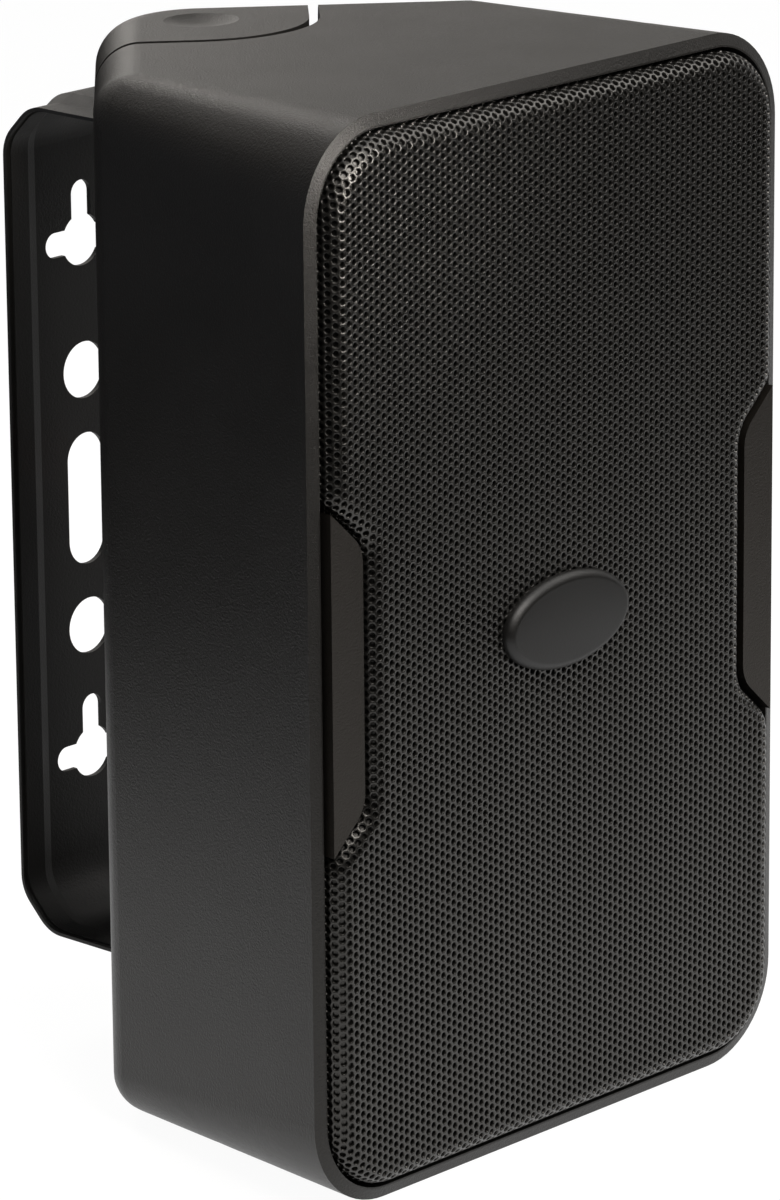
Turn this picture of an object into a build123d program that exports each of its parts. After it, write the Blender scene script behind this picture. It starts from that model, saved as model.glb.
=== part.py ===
"""Outdoor patio speaker on a C-shaped swivel bracket, as separate pieces in millimetres.

Working frame: X right, Y to the rear with 0 on the grille's face, Z up with 0 at mid height.
Each piece is moved by FRAME when it is written, so the part stands centred over its lowest point.
"""

import math
import os

from build123d import *

# Overall sizes
HALF_W = 76.6
HALF_H = 121.4
FRONT_R = 21.6
WALL_Y = 150.7
BADGE_PROUD = 2.5

# Fits
PLAY = 0.3
SNUG = 0.1

# Screws
SCREW_R = 1.2
SCREW_HEAD_R = 2.2
SCREW_HEAD_T = 1.8
SCREW_SEAT = 2.2
SCREW_TIP = 1.2

# Enclosure
RIM_Y = 3.4
BEVEL_Y = 4.4
BEVEL_IN = 2.6
LIP = 0.4
SIDE_TAPER = 0.171
TOP_DRAFT = 0.02
TAPER_END_Y = 135.0
TAPER_END_R = 3.5
REAR_EDGE_R = 10.5
SHELL = 3.5
NOSE_R = 23.5
PIVOT_Y = 110.0
TOP_WALL = 6.4
BLOCK_DROP = 24.0

# Front stack, from the grille's face backwards
SHEET = 0.9
BAFFLE_Y = 6.5
BAFFLE_T = 5.0
GASKET_T = 0.5
BAFFLE_BACK = BAFFLE_Y + BAFFLE_T
LEDGE_Y = BAFFLE_BACK + GASKET_T
LEDGE_END_Y = 25.0
SEAT_W = 6.0
LEDGE_R = 12.0
POCKET_W = HALF_W - BEVEL_IN - LIP
POCKET_H = HALF_H - BEVEL_IN - LIP
POCKET_TAPER = 0.14
POCKET_IN = POCKET_TAPER * (LEDGE_Y - RIM_Y)
BAFFLE_W = POCKET_W - POCKET_IN - 0.4
BAFFLE_H = POCKET_H - POCKET_IN - 0.4
LEDGE_W = BAFFLE_W - SEAT_W
LEDGE_H = BAFFLE_H - SEAT_W
TOP_INNER = HALF_H - TOP_WALL

# Grille, grips and badge
GRILLE_GAP = 0.9
GRILLE_W = POCKET_W - GRILLE_GAP
GRILLE_H = POCKET_H - GRILLE_GAP
GRILLE_R = FRONT_R - BEVEL_IN - LIP - GRILLE_GAP
ROLL_R = 4.5
GRIP_IN = 62.0
GRIP_OUT_Z = 39.5
GRIP_IN_Z = 29.5
GRIP_BEND_R = 8.0
GRIP_FACE_Y = 1.2
BADGE_RX = 20.2
BADGE_RZ = 10.8
BADGE_Z = -0.4
BADGE_BEVEL = 1.4
BADGE_PIN_X = 11.0
BADGE_PIN_R = 1.2

# Swivel bracket
STRAP_T = 1.2
STRAP_STEP = 1.8
STRAP_W = 25.0
STRAP_DROP = 23.3
STRAP_BEND = 8.2
STRAP_BEND_R = 8.0
WEB_IN = 14.5
WEB_OUT = 18.3
LIP_W = 1.4
LIP_STEP = 0.4
HOLE_R = 6.8
HOLE_Z = 31.1
CABLE_W = 12.2
CABLE_H = 31.9
KEY_Z = 62.3
KEY_R = 6.2
KEY_SLOT_W = 6.2
KEY_SLOT_TOP = 14.2
KEY_LOBE_X = 11.6
KEY_LOBE_W = 6.0

# Swivel
SWIVEL = 40.0
SWIVEL_SPARE = 5.0
RECESS_R = 27.4
RECESS_ANGLE = SWIVEL + SWIVEL_SPARE
CAP_R = 25.0
CAP_TOP = HALF_H - TOP_DRAFT * (PIVOT_Y - BEVEL_Y) + 0.1
CAP_WALL = 2.5
CAP_ROOF = 6.0
DISH_R = 9.0
DISH_DEPTH = 1.0
BOSS_R = 9.0
WASHER_T = 0.6
BOLT_R = 3.0
BOLT_HEAD_R = 6.0
BOLT_HEAD_T = 4.0
SOCKET_WALL = 2.0
INSERT_R = 5.0
INSERT_L = 17.0
BOLT_IN = 20.0

# Woofer
WOOFER_DROP = 3.0
WOOFER_R = 57.0
WOOFER_HOLE_R = 47.0
FLANGE_T = 1.5
CONE_R = 40.2
ROLL_MID_R = 43.25
ROLL_IN = 3.0
RUBBER_T = 0.5
FORMER_R = 13.0
FORMER_T = 0.4
COIL_T = 0.6
COIL_GAP = 0.6
PLATE_R = 34.0
PLATE_T = 4.0
MAGNET_R = 36.0
MAGNET_T = 12.0
YOKE_T = 4.0
POT_R = 36.5
POT_WALL = 1.8
POT_FLOOR = 1.6
POT_Y = 38.5
SPIDER_EDGE = 6.5
SPIDER_T = 0.6
SPIDER_Y = 27.5
EDGE_R = 51.5
NECK_R = 37.5
DUST_R = 15.0
DUST_RISE = 5.0

# Tweeter
HORN_DROP = 2.0
HORN_W = 42.0
HORN_H = 37.0
HORN_MOUTH_R = 32.0
HORN_THROAT_R = 9.5

# Terminals and crossover
FLAT_Y = 128.0
PANEL_W = 13.0
PANEL_H = 30.0
PANEL_T = 3.0
STUD_Z = 9.5
STUD_R = 2.0
STUD_BODY_R = 3.0
PANEL_HEAD_T = 1.6
CLAMP_R = 5.5
CLAMP_L = 5.5
COLLAR_R = 4.4
COLLAR_T = 1.5
PANEL_SCREW_Z = 25.0
BOARD_W = 20.0
BOARD_H = 52.0
BOARD_Y = 114.0
BOARD_T = 1.6
WIRE_R = 0.9
WIRE_BEND = 9.0

# Derived places
FRAME = Pos(0, -(WALL_Y - BADGE_PROUD) / 2, HALF_H)
PLATE_IN_Y = WALL_Y - STRAP_T - STRAP_STEP
STRAP_IN_Z = HALF_H - STRAP_DROP
BLOCK_Z = STRAP_IN_Z - BLOCK_DROP
CHANNEL_IN_Z = STRAP_IN_Z + STRAP_STEP
CHANNEL_OUT_Z = CHANNEL_IN_Z + STRAP_T
SLOT_LOW = STRAP_IN_Z - 1.0
CAP_LOW = CHANNEL_OUT_Z + PLAY
BOSS_TOP = CHANNEL_IN_Z - PLAY - WASHER_T
BOLT_TIP_Z = BOSS_TOP - BOLT_IN
WOOFER_Z = WOOFER_R + WOOFER_DROP - LEDGE_H
TWEETER_Z = LEDGE_H - HORN_H - HORN_DROP
SCREW_X = BAFFLE_W - SEAT_W / 2
SCREW_Z = BAFFLE_H - SEAT_W / 2
DIAGONAL = NOSE_R * math.sqrt(2)
BAFFLE_SCREWS = [(x, z) for x in (-SCREW_X, SCREW_X) for z in (-75, 75)]
BAFFLE_SCREWS += [(x, z) for x in (-40, 40) for z in (-SCREW_Z, SCREW_Z)]
WOOFER_SCREWS = [
    (54 * math.cos(math.radians(a)), WOOFER_Z + 54 * math.sin(math.radians(a)))
    for a in (45, 135, 225, 315)
]
HORN_SCREWS = [(x, TWEETER_Z + z) for x in (-37, 37) for z in (-32, 32)]
PARTS = {}


def plan(sketch, z0, z1):
    """A plan view raised between two heights."""
    return Pos(0, 0, z0) * extrude(sketch, z1 - z0, dir=(0, 0, 1))


def front(sketch, y0, y1):
    """A front view, drawn with X and Z, pushed back between two depths."""
    return Pos(0, y0, 0) * extrude(Plane.XZ * sketch, y1 - y0, dir=(0, 1, 0))


def side(points, half_width):
    """A side view, drawn with Y and Z, spread evenly to both sides."""
    sketch = Plane.YZ * Polygon(*points, align=None)
    return Pos(-half_width, 0, 0) * extrude(sketch, 2 * half_width, dir=(1, 0, 0))


def turned(points, x=0.0, z=0.0, y=0.0):
    """A radius and depth outline turned about a front to back axis."""
    return Pos(x, y, z) * revolve(Polygon(*points, align=None), Axis.Y)


def rod(radius, y0, y1, x=0.0, z=0.0):
    """A round bar lying front to back."""
    return turned([(0, y0), (radius, y0), (radius, y1), (0, y1)], x, z)


def tube(outer, inner, y0, y1, x=0.0, z=0.0):
    """A ring lying front to back."""
    return turned([(inner, y0), (outer, y0), (outer, y1), (inner, y1)], x, z)


def post(outer, inner, z0, z1):
    """A ring standing on the swivel axis."""
    bar = Pos(0, PIVOT_Y, (z0 + z1) / 2) * Cylinder(outer, z1 - z0)
    if inner:
        bar -= Pos(0, PIVOT_Y, (z0 + z1) / 2) * Cylinder(inner, z1 - z0)
    return bar


def section(y, half_w, half_h, radius):
    """A rounded rectangle across the enclosure at one depth."""
    return Pos(0, y, 0) * (Plane.XZ * RectangleRounded(2 * half_w, 2 * half_h, radius))


def both_ends(solid):
    """The same shape at the top and mirrored at the bottom."""
    return solid + mirror(solid, Plane.XY)


def arc_points(cx, cy, radius, start, end, steps):
    """Points along an arc, angles in degrees."""
    turns = [math.radians(start + (end - start) * i / steps) for i in range(steps + 1)]
    return [(cx + radius * math.cos(t), cy + radius * math.sin(t)) for t in turns]


def write(name, shape):
    """Put one named piece into the shared frame and keep it for writing."""
    PARTS[name] = FRAME * shape


def swing_plan(radius, angle):
    """Plan of everything a strap of this half width sweeps when it swings."""
    c = math.cos(math.radians(angle))
    s = math.sin(math.radians(angle))
    near = (radius * c, PIVOT_Y - radius * s)
    far = (near[0] + 90 * s, near[1] + 90 * c)
    fan = Polygon(near, far, (-far[0], far[1]), (-near[0], near[1]), align=None)
    return fan + Pos(0, PIVOT_Y) * Circle(radius)


def grip_outline(inset):
    """Plan of one side's grip notch, S-shaped at both ends; inset shrinks it."""
    inner = GRIP_IN + inset
    z_in = GRIP_IN_Z - 0.41 * inset
    z_out = GRIP_OUT_Z - 0.41 * inset
    slope = (z_out - z_in) / (GRILLE_W - GRIP_IN)
    reach = GRILLE_W + 4
    z_reach = z_in + slope * (reach - inner)
    shape = Polygon((inner, -z_in), (reach, -z_reach), (reach, z_reach), (inner, z_in), align=None)
    ends = [v for v in shape.vertices() if abs(v.X - inner) < 0.01]
    return fillet(ends, GRIP_BEND_R)


def rear_plan():
    """Plan limit of the enclosure: 45 degree rear walls and a round nose about the swivel."""
    t = NOSE_R / math.sqrt(2)
    reach = 2 * HALF_W
    wedge = Polygon(
        (-reach, -9),
        (reach, -9),
        (reach, PIVOT_Y + DIAGONAL - reach),
        (t, PIVOT_Y + t),
        (-t, PIVOT_Y + t),
        (-reach, PIVOT_Y + DIAGONAL - reach),
        align=None,
    )
    return wedge + Pos(0, PIVOT_Y) * Circle(NOSE_R)


def rounded_rear(body):
    """Round the edges around both 45 degree walls of a body."""
    rear = []
    for edge in body.edges():
        m = edge.position_at(0.5)
        if abs(abs(m.X) + m.Y - PIVOT_Y - DIAGONAL) < 0.01 and m.Y < PIVOT_Y + NOSE_R * 0.7 - 0.5:
            rear.append(edge)
    return fillet(rear, REAR_EDGE_R)


def tapered_block():
    """The outer block without its front rim."""
    run = TAPER_END_Y - BEVEL_Y
    body = loft(
        [
            section(BEVEL_Y, HALF_W, HALF_H, FRONT_R),
            section(TAPER_END_Y, HALF_W - SIDE_TAPER * run, HALF_H - TOP_DRAFT * run, TAPER_END_R),
        ],
        ruled=True,
    )
    body &= plan(rear_plan(), -2 * HALF_H, 2 * HALF_H)
    return rounded_rear(body)


def enclosure_body():
    """The outer block with the narrow front rim."""
    rim = loft(
        [
            section(RIM_Y, HALF_W - BEVEL_IN, HALF_H - BEVEL_IN, FRONT_R - BEVEL_IN),
            section(BEVEL_Y, HALF_W, HALF_H, FRONT_R),
        ],
        ruled=True,
    )
    return tapered_block() + rim


def enclosure_hollow():
    """The pocket for the baffle, the ledge behind it and the air space."""
    pocket = loft(
        [
            section(RIM_Y, POCKET_W, POCKET_H, FRONT_R - BEVEL_IN - LIP),
            section(
                LEDGE_Y,
                POCKET_W - POCKET_IN,
                POCKET_H - POCKET_IN,
                FRONT_R - BEVEL_IN - LIP - 1,
            ),
        ],
        ruled=True,
    )
    throat = front(RectangleRounded(2 * LEDGE_W, 2 * LEDGE_H, LEDGE_R), LEDGE_Y, LEDGE_END_Y)
    end_y = PIVOT_Y - RECESS_R - SHELL
    room = loft(
        [
            section(
                LEDGE_END_Y,
                HALF_W - SIDE_TAPER * (LEDGE_END_Y - BEVEL_Y) - SHELL,
                TOP_INNER,
                15,
            ),
            section(end_y, HALF_W - SIDE_TAPER * (end_y - BEVEL_Y) - SHELL, TOP_INNER, 7),
        ],
        ruled=True,
    )
    half = HALF_W - SIDE_TAPER * (end_y - BEVEL_Y) - SHELL
    far = PIVOT_Y + DIAGONAL - SHELL * math.sqrt(2)
    deep = FLAT_Y - SHELL - 0.5
    back = Polygon(
        (-half, end_y - 2),
        (half, end_y - 2),
        (half, far - half),
        (far - deep, deep),
        (deep - far, deep),
        (-half, far - half),
        align=None,
    )
    return pocket + throat + room + plan(back, -BLOCK_Z, BLOCK_Z)


def make_enclosure():
    shell = enclosure_body() - enclosure_hollow()
    recess = plan(swing_plan(RECESS_R, RECESS_ANGLE), SLOT_LOW, 2 * HALF_H)
    shell -= both_ends(recess)
    shell += both_ends(post(BOSS_R, 0, SLOT_LOW - 1, BOSS_TOP))
    bore = post(INSERT_R, 0, BOSS_TOP - INSERT_L, BOSS_TOP + 1)
    bore += post(BOLT_R + SNUG, 0, BOLT_TIP_Z - 1, BOSS_TOP)
    shell -= both_ends(bore)
    shell -= Pos(0, FLAT_Y + 20, 0) * Box(2 * NOSE_R, 40, 2 * PANEL_H + 8)
    for z in (-STUD_Z, STUD_Z):
        shell -= rod(STUD_BODY_R + 1, FLAT_Y - 9, FLAT_Y + 1, 0, z)
    for z in (-PANEL_SCREW_Z, PANEL_SCREW_Z):
        shell -= rod(SCREW_R + SNUG, FLAT_Y - 9, FLAT_Y + 1, 0, z)
    for x, z in BAFFLE_SCREWS:
        shell -= rod(SCREW_R + SNUG, LEDGE_Y - 1, LEDGE_Y + 11, x, z)
    write("enclosure", shell)


def strap_path():
    """The bracket's side view along the flange's inner face, bends rounded."""
    y_end = PIVOT_Y - STRAP_W - 5
    y_bend = PLATE_IN_Y - STRAP_BEND
    z_bend = STRAP_IN_Z - STRAP_BEND
    upper = [(0, y_end, STRAP_IN_Z), (0, y_bend, STRAP_IN_Z), (0, PLATE_IN_Y, z_bend)]
    points = upper + [(x, y, -z) for x, y, z in reversed(upper)]
    return FilletPolyline(*points, radius=STRAP_BEND_R)


def strap_half():
    """Half of the strap's hat section, as half width and height outwards."""
    lean = math.atan2(STRAP_STEP, WEB_OUT - WEB_IN)
    shift = STRAP_T * math.tan(lean / 2)
    outer = [(WEB_IN + shift, STRAP_STEP + STRAP_T), (WEB_OUT + shift, STRAP_T), (STRAP_W, STRAP_T)]
    edge = [(STRAP_W, LIP_STEP), (STRAP_W - LIP_W, LIP_STEP), (STRAP_W - LIP_W, 0)]
    return outer + edge + [(WEB_OUT, 0), (WEB_IN, STRAP_STEP)]


def keyhole(z):
    """Screw head hole with an upright slot and a sideways lobe to each side."""
    head = Pos(0, z) * Circle(KEY_R)
    slot = Pos(0, z + KEY_SLOT_TOP / 2) * SlotOverall(KEY_SLOT_TOP + KEY_SLOT_W, KEY_SLOT_W, 90)
    lobe = Pos(0, z) * SlotOverall(2 * KEY_LOBE_X, KEY_LOBE_W)
    trim = KEY_SLOT_W / 2
    return head + lobe + Pos(0, -trim) * slot


def make_bracket():
    path = strap_path()
    right = strap_half()
    points = [(x, -h) for x, h in right] + [(-x, -h) for x, h in reversed(right)]
    section_plane = Plane(path @ 0, x_dir=(1, 0, 0), z_dir=path % 0)
    bracket = sweep(section_plane * Polygon(*points, align=None), path)
    ends = Pos(0, PIVOT_Y) * Circle(STRAP_W) + Pos(0, PIVOT_Y + 50) * Rectangle(2 * STRAP_W, 100)
    bracket &= plan(ends, -HALF_H, HALF_H)
    holes = SlotOverall(CABLE_H, CABLE_W, 90) + keyhole(KEY_Z) + keyhole(-KEY_Z)
    for z in (-HOLE_Z, HOLE_Z):
        holes += Pos(0, z) * Circle(HOLE_R)
    bracket -= front(holes, PLATE_IN_Y - 2, WALL_Y + 2)
    through = post(BOLT_R + PLAY, 0, CHANNEL_IN_Z - 1, CHANNEL_OUT_Z + 1)
    write("bracket", bracket - both_ends(through))


def make_caps():
    outline = rear_plan() & swing_plan(CAP_R, RECESS_ANGLE)
    cap = tapered_block() & plan(outline, CAP_LOW, HALF_H)
    ball_r = (DISH_R**2 + DISH_DEPTH**2) / (2 * DISH_DEPTH)
    cap -= Pos(0, PIVOT_Y, CAP_TOP - DISH_DEPTH + ball_r) * Sphere(ball_r)
    roof = CAP_TOP - CAP_ROOF
    cap -= post(NOSE_R - CAP_WALL, 0, CAP_LOW - 1, roof)
    cap += post(BOLT_HEAD_R + SNUG + SOCKET_WALL, BOLT_HEAD_R + SNUG, CAP_LOW, roof)
    write("pivot_cap_top", cap)
    write("pivot_cap_bottom", mirror(cap, Plane.XY))


def make_pivots():
    head_z = CHANNEL_OUT_Z + PLAY
    bolt = post(BOLT_R, 0, BOLT_TIP_Z, head_z) + post(BOLT_HEAD_R, 0, head_z, head_z + BOLT_HEAD_T)
    write("pivot_bolt", both_ends(bolt))
    write("pivot_insert", both_ends(post(INSERT_R, BOLT_R, BOSS_TOP - INSERT_L, BOSS_TOP)))
    washer = post(BOSS_R, BOLT_R + SNUG, BOSS_TOP, BOSS_TOP + WASHER_T)
    write("pivot_washer", both_ends(washer))


def grips(inset):
    """Both grip notches."""
    right = grip_outline(inset)
    return right + mirror(right, Plane.YZ)


def make_baffle():
    outline = RectangleRounded(2 * BAFFLE_W, 2 * BAFFLE_H, FRONT_R - BEVEL_IN - LIP - 2)
    baffle = front(outline, BAFFLE_Y, BAFFLE_BACK)
    limit = RectangleRounded(2 * GRILLE_W, 2 * GRILLE_H, GRILLE_R)
    blocks = front(grips(GRILLE_GAP) & limit, GRIP_FACE_Y, BAFFLE_Y)
    baffle += blocks
    baffle -= rod(WOOFER_HOLE_R, 0, BAFFLE_BACK + 1, 0, WOOFER_Z)
    mouth = [(0, 0), (HORN_MOUTH_R + 5, 0), (HORN_MOUTH_R, BAFFLE_BACK), (0, BAFFLE_BACK)]
    baffle -= turned(mouth, 0, TWEETER_Z)
    for x, z in BAFFLE_SCREWS:
        baffle -= rod(SCREW_R + SNUG, 0, BAFFLE_BACK + 1, x, z)
        baffle -= rod(SCREW_HEAD_R + SNUG, 0, BAFFLE_Y + SCREW_SEAT, x, z)
    for x, z in WOOFER_SCREWS + HORN_SCREWS:
        baffle -= rod(SCREW_R + SNUG, BAFFLE_Y + 1, BAFFLE_BACK + 1, x, z)
    write("baffle", baffle)

    ring = RectangleRounded(2 * BAFFLE_W, 2 * BAFFLE_H, FRONT_R - BEVEL_IN - LIP - 2)
    ring -= RectangleRounded(2 * LEDGE_W, 2 * LEDGE_H, LEDGE_R)
    gasket = front(ring, BAFFLE_BACK, LEDGE_Y)
    screws = []
    for x, z in BAFFLE_SCREWS:
        gasket -= rod(SCREW_R + SNUG, 0, LEDGE_Y + 1, x, z)
        seat = BAFFLE_Y + SCREW_SEAT
        screw = rod(SCREW_HEAD_R, seat - SCREW_HEAD_T, seat, x, z)
        screws.append(screw + rod(SCREW_R, seat, LEDGE_Y + 10, x, z))
    write("baffle_gasket", gasket)
    write("baffle_screw", Compound(children=screws))


def grille_sheet(inset, y0):
    """The grille's block at one inset, its front edge rolled."""
    outline = RectangleRounded(2 * (GRILLE_W - inset), 2 * (GRILLE_H - inset), GRILLE_R - inset)
    outline -= grips(-inset)
    corners = [v for v in outline.vertices() if abs(abs(v.X) - GRILLE_W + inset) < 0.01]
    corners = [v for v in corners if abs(v.Y) < GRIP_OUT_Z + 5]
    outline = fillet(corners, GRIP_BEND_R - inset)
    block = front(outline, y0, BAFFLE_Y)
    rim = block.edges().group_by(Axis.Y)[0]
    return fillet(rim, ROLL_R - inset)


def make_grille():
    grille = grille_sheet(0, 0) - grille_sheet(SHEET, SHEET)
    oval = Pos(0, BADGE_Z) * Ellipse(BADGE_RX, BADGE_RZ)
    badge = front(oval, -BADGE_PROUD, 0)
    badge = chamfer(badge.edges().group_by(Axis.Y)[0], BADGE_BEVEL)
    clips = []
    for x in (-BADGE_PIN_X, BADGE_PIN_X):
        grille -= rod(BADGE_PIN_R + SNUG, -1, 2, x, BADGE_Z)
        badge += rod(BADGE_PIN_R, -0.5, SHEET + 1.4, x, BADGE_Z)
        clips.append(tube(2.6, BADGE_PIN_R, SHEET, SHEET + 0.6, x, BADGE_Z))
    write("grille", grille)
    write("badge", badge)
    write("badge_clip", Compound(children=clips))


def make_woofer():
    def part(points):
        return turned(points, 0, WOOFER_Z, BAFFLE_BACK)

    def ring(outer, inner, y0, y1):
        return part([(inner, y0), (outer, y0), (outer, y1), (inner, y1)])

    y0 = GASKET_T
    y1 = y0 + FLANGE_T
    frame = [(46.5, y0), (WOOFER_R, y0), (WOOFER_R, y1), (50, y1), (POT_R, POT_Y - 5), (POT_R, POT_Y)]
    floor_y = POT_Y - POT_FLOOR
    shelf_y = SPIDER_Y + SPIDER_T
    frame += [(16, POT_Y), (16, floor_y), (POT_R - POT_WALL, floor_y)]
    frame += [(POT_R - POT_WALL, shelf_y + POT_FLOOR), (POT_R - SPIDER_EDGE, shelf_y + POT_FLOOR)]
    frame += [(POT_R - SPIDER_EDGE, shelf_y), (POT_R + 0.5, shelf_y), (48.2, y1), (46.5, y1)]
    basket = part(frame)
    window = Pos(0, BAFFLE_BACK + 14.5, 0) * Box(34, 20, 140)
    for a in (0, 90):
        basket -= Pos(0, 0, WOOFER_Z) * Rot(0, a, 0) * window
    gasket = ring(WOOFER_R, EDGE_R, 0, y0)
    screws = []
    back = BAFFLE_BACK + y1
    for x, z in WOOFER_SCREWS:
        basket -= rod(SCREW_R + SNUG, 0, back + 1, x, z)
        gasket -= rod(SCREW_R + SNUG, 0, back + 1, x, z)
        screw = rod(SCREW_R, BAFFLE_Y + SCREW_TIP, back, x, z)
        screws.append(screw + rod(SCREW_HEAD_R, back, back + SCREW_HEAD_T, x, z))
    write("woofer_basket", basket)
    write("woofer_gasket", gasket)
    write("woofer_screw", Compound(children=screws))

    lip = RUBBER_T
    roll = ROLL_IN + lip
    dip = math.degrees(math.asin(lip / roll))
    skin = [(EDGE_R, y0), (EDGE_R, y0 - lip)]
    skin += arc_points(ROLL_MID_R, y0, roll, -dip, dip - 180, 14)
    skin += [(NECK_R, y0 - lip), (NECK_R, y0)]
    skin += arc_points(ROLL_MID_R, y0, ROLL_IN, -180, 0, 14)
    write("woofer_surround", part(skin))

    apex = 16.7
    cone = [(FORMER_R, apex), (NECK_R, y0), (CONE_R, y0), (CONE_R, y0 + 0.8), (NECK_R + 0.4, y0 + 0.8)]
    write("woofer_cone", part(cone + [(FORMER_R, apex + 1.1)]))
    fall = (apex - y0) / (NECK_R - FORMER_R)
    rim_y = apex - 2 * fall
    dome_r = (DUST_R**2 + DUST_RISE**2) / (2 * DUST_RISE)
    reach = math.degrees(math.asin(DUST_R / dome_r))
    dome = arc_points(0, rim_y - DUST_RISE + dome_r, dome_r, -90, reach - 90, 10)
    under = arc_points(0, rim_y - DUST_RISE + dome_r, dome_r - 0.6, reach - 93, -90, 10)
    write("woofer_dust_cap", part(dome + [(14.3, rim_y + 0.7 * fall)] + under))
    write("woofer_former", ring(FORMER_R, FORMER_R - FORMER_T, 15.5, 45.5))
    write("woofer_winding", ring(FORMER_R + COIL_T, FORMER_R, 35.5, 45.5))

    step = (POT_R - SPIDER_EDGE - FORMER_R) / 20
    waves = [(FORMER_R + step * i, SPIDER_Y + math.sin(i * math.pi / 2.5)) for i in range(21)]
    hem = POT_R - SPIDER_EDGE + 0.5
    web = waves + [(hem, SPIDER_Y), (POT_R - 1, SPIDER_Y), (POT_R - 1, shelf_y), (hem, shelf_y)]
    web += [(r, y + SPIDER_T) for r, y in reversed(waves)]
    write("woofer_spider", part(web))

    magnet_y = POT_Y + PLATE_T
    yoke_y = magnet_y + MAGNET_T
    end_y = yoke_y + YOKE_T
    write("woofer_plate", ring(PLATE_R, FORMER_R + COIL_T + COIL_GAP, POT_Y, magnet_y))
    write("woofer_magnet", ring(MAGNET_R, 18, magnet_y, yoke_y))
    pole = FORMER_R - FORMER_T - COIL_GAP
    yoke = [(0, POT_Y - 0.5), (pole, POT_Y - 0.5), (pole, yoke_y), (PLATE_R, yoke_y)]
    write("woofer_yoke", part(yoke + [(PLATE_R, end_y), (0, end_y)]))
    tag = Pos(40, BAFFLE_BACK + 36, WOOFER_Z) * Box(9, 3, 12)
    tag -= part([(0, 9), (POT_R, 9), (POT_R, 50), (0, 50)])
    write("woofer_tag", tag)


def make_tweeter():
    def part(points):
        return turned(points, 0, TWEETER_Z, BAFFLE_BACK)

    def ring(outer, inner, y0, y1):
        return part([(inner, y0), (outer, y0), (outer, y1), (inner, y1)])

    flare = [(HORN_MOUTH_R, 0), (26, 3), (20, 6.5), (14.5, 10.5), (HORN_THROAT_R, 16), (25, 16)]
    flare += [(25, 14), (13, 14), (17, 10), (22.5, 5.9), (29, 2.5), (34, 2.5), (34, 0)]
    back = BAFFLE_BACK + 2.5
    horn = front(Pos(0, TWEETER_Z) * RectangleRounded(2 * HORN_W, 2 * HORN_H, 8), BAFFLE_BACK, back)
    horn -= rod(33, 0, back + 9, 0, TWEETER_Z)
    horn += part(flare)
    screws = []
    for x, z in HORN_SCREWS:
        horn -= rod(SCREW_R + SNUG, 0, back + 9, x, z)
        screw = rod(SCREW_R, BAFFLE_Y + SCREW_TIP, back, x, z)
        screws.append(screw + rod(SCREW_HEAD_R, back, back + SCREW_HEAD_T, x, z))
    write("tweeter_horn", horn)
    write("tweeter_screw", Compound(children=screws))

    base = 8.8
    ball = (base**2 + 4.2**2) / (2 * 4.2)
    reach = math.degrees(math.asin(base / ball))
    top = arc_points(0, 11.8 + ball, ball, -90, reach - 90, 8)
    under = arc_points(0, 11.8 + ball, ball - 0.5, reach - 92, -90, 8)
    write("tweeter_dome", part(top + [(24, 16), (24, 16.5), (8.4, 16.5)] + under))
    write("tweeter_plate", ring(24, 9.6, 16.5, 19.5))
    write("tweeter_magnet", ring(25, 14, 19.5, 29.5))
    write("tweeter_yoke", part([(0, 17.5), (8.4, 17.5), (8.4, 29.5), (24, 29.5), (24, 32.5), (0, 32.5)]))
    write("tweeter_tag", Pos(8, BAFFLE_BACK + 33.25, TWEETER_Z) * Box(10, 1.5, 14))


def make_terminals():
    y1 = FLAT_Y + GASKET_T
    y2 = y1 + PANEL_T
    foot = y2 + COLLAR_T
    panel = front(RectangleRounded(2 * PANEL_W, 2 * PANEL_H, 5), y1, y2)
    gasket = front(RectangleRounded(2 * PANEL_W, 2 * PANEL_H, 5), FLAT_Y, y1)
    studs = []
    for z in (-STUD_Z, STUD_Z):
        panel -= rod(STUD_R + SNUG, 0, y2 + 1, 0, z)
        gasket -= rod(STUD_BODY_R + 1, 0, y2 + 1, 0, z)
        stud = [(0, BOARD_Y - 4), (STUD_R, BOARD_Y - 4), (STUD_R, BOARD_Y + BOARD_T)]
        stud += [(STUD_BODY_R, BOARD_Y + BOARD_T), (STUD_BODY_R, y1), (STUD_R, y1)]
        stud += [(STUD_R, y2), (COLLAR_R, y2), (COLLAR_R, foot), (STUD_R, foot)]
        studs.append(turned(stud + [(STUD_R, y2 + 9), (0, y2 + 9)], 0, z))
    screws = []
    for z in (-PANEL_SCREW_Z, PANEL_SCREW_Z):
        panel -= rod(SCREW_R + SNUG, 0, y2 + 1, 0, z)
        gasket -= rod(SCREW_R + SNUG, 0, y2 + 1, 0, z)
        screw = rod(SCREW_R, FLAT_Y - 3, y2, 0, z)
        screws.append(screw + rod(SCREW_HEAD_R, y2, y2 + PANEL_HEAD_T, 0, z))
    write("terminal_panel", panel)
    write("terminal_gasket", gasket)
    write("terminal_stud", Compound(children=studs))
    write("terminal_screw", Compound(children=screws))
    write("terminal_clamp_red", tube(CLAMP_R, STUD_R, foot, foot + CLAMP_L, 0, STUD_Z))
    write("terminal_clamp_black", tube(CLAMP_R, STUD_R, foot, foot + CLAMP_L, 0, -STUD_Z))


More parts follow.
